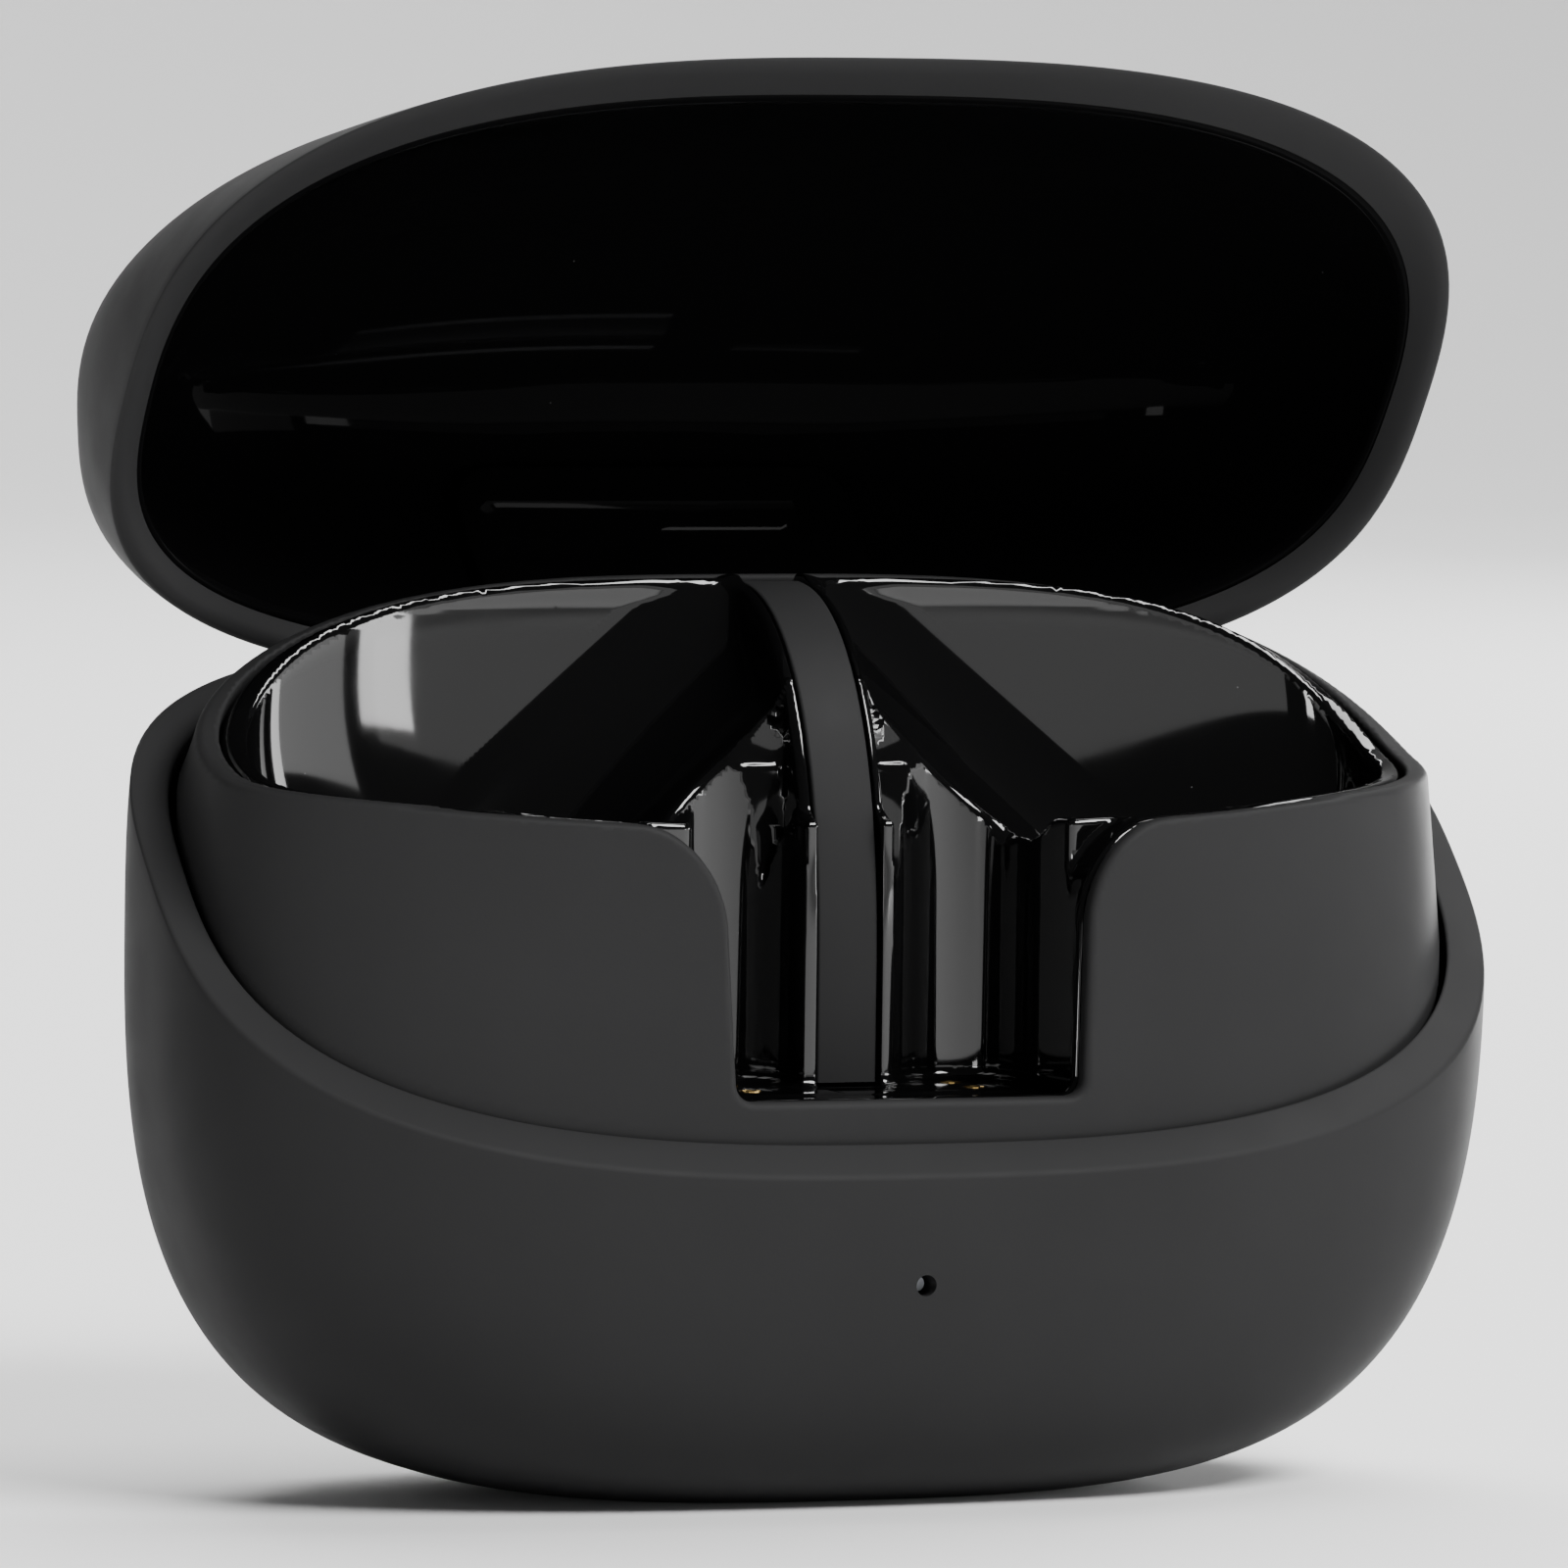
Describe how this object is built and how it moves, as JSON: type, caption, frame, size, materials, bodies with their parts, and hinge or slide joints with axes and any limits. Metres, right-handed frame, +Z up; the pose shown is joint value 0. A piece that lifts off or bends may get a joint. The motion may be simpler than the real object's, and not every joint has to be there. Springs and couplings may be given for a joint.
{
  "type": "wireless earbuds case",
  "caption": "Palm-size pebble charging case with a hinged lid, gloss wells and stem slots for a pair of earbuds, a finger notch and a divider rib.",
  "frame": {"origin": "centre of the flat foot that the case stands on", "axes": "+X along the lid's hinge, -Y the front with the status light, +Z up"},
  "size_m": [0.0598, 0.037, 0.0608],
  "materials": {
    "soft_touch": "soft-touch satin black",
    "gloss_black": "piano gloss black",
    "steel": "satin steel",
    "gold": "gold plated",
    "board_green": "solder mask green",
    "cell_wrap": "foil pouch",
    "foam": "foam",
    "light_pipe": "milky clear",
    "nickel": "nickel plated",
    "black_plastic": "moulded black",
    "flex_amber": "polyimide film",
    "lead_red": "red insulation",
    "ink_black": "black epoxy"
  },
  "bodies": {
    "base": {"base_shell": "soft_touch", "hinge_bracket": "steel", "hinge_pin": "steel", "hinge_spring_left": "steel", "hinge_spring_right": "steel", "cradle_frame": "soft_touch", "cradle_liner": "gloss_black", "divider_strip": "soft_touch", "battery_cell": "cell_wrap", "battery_foam_pad": "foam", "battery_lead_red": "lead_red", "battery_lead_black": "ink_black", "main_board": "board_green", "usb_receptacle": "nickel", "charge_controller": "ink_black", "hall_sensor": "ink_black", "status_led": "light_pipe", "light_pipe": "light_pipe", "tact_switch": "ink_black", "button_board": "board_green", "bracket_screw_left": "steel", "bracket_screw_right": "steel", "bud_magnet_left": "nickel", "bud_magnet_right": "nickel", "closure_magnet_left": "nickel", "closure_magnet_right": "nickel", "pin_block_left": "black_plastic", "pin_block_right": "black_plastic", "contact_flex_left": "flex_amber", "contact_flex_right": "flex_amber"},
    "lid": {"lid_shell": "soft_touch", "lid_liner": "gloss_black", "hinge_arm": "steel", "hinge_cover": "gloss_black", "lid_magnet_left": "nickel", "lid_magnet_right": "nickel"},
    "button": {"pairing_button": "soft_touch"},
    "contact_left_front": {"charge_pin_left_front": "gold"},
    "contact_left_rear": {"charge_pin_left_rear": "gold"},
    "contact_right_front": {"charge_pin_right_front": "gold"},
    "contact_right_rear": {"charge_pin_right_rear": "gold"}
  },
  "joints": [
    {"name": "lid_hinge", "type": "hinge", "parent": "base", "child": "lid", "pos_m": [0, 0.01008, 0.03481], "axis": [1, 0, 0], "range_deg": [0, 97.9]},
    {"name": "button_press", "type": "slide", "parent": "base", "child": "button", "axis": [0, -1, 0], "range_m": [0, 0.00035], "stiffness_N_per_m": 800, "springref_m": -0.0003},
    {"name": "pin_left_front_press", "type": "slide", "parent": "base", "child": "contact_left_front", "axis": [0, 0, -1], "range_m": [0, 0.0004], "stiffness_N_per_m": 1200, "springref_m": -0.0005},
    {"name": "pin_left_rear_press", "type": "slide", "parent": "base", "child": "contact_left_rear", "axis": [0, 0, -1], "range_m": [0, 0.0004], "stiffness_N_per_m": 1200, "springref_m": -0.0005},
    {"name": "pin_right_front_press", "type": "slide", "parent": "base", "child": "contact_right_front", "axis": [0, 0, -1], "range_m": [0, 0.0004], "stiffness_N_per_m": 1200, "springref_m": -0.0005},
    {"name": "pin_right_rear_press", "type": "slide", "parent": "base", "child": "contact_right_rear", "axis": [0, 0, -1], "range_m": [0, 0.0004], "stiffness_N_per_m": 1200, "springref_m": -0.0005}
  ]
}
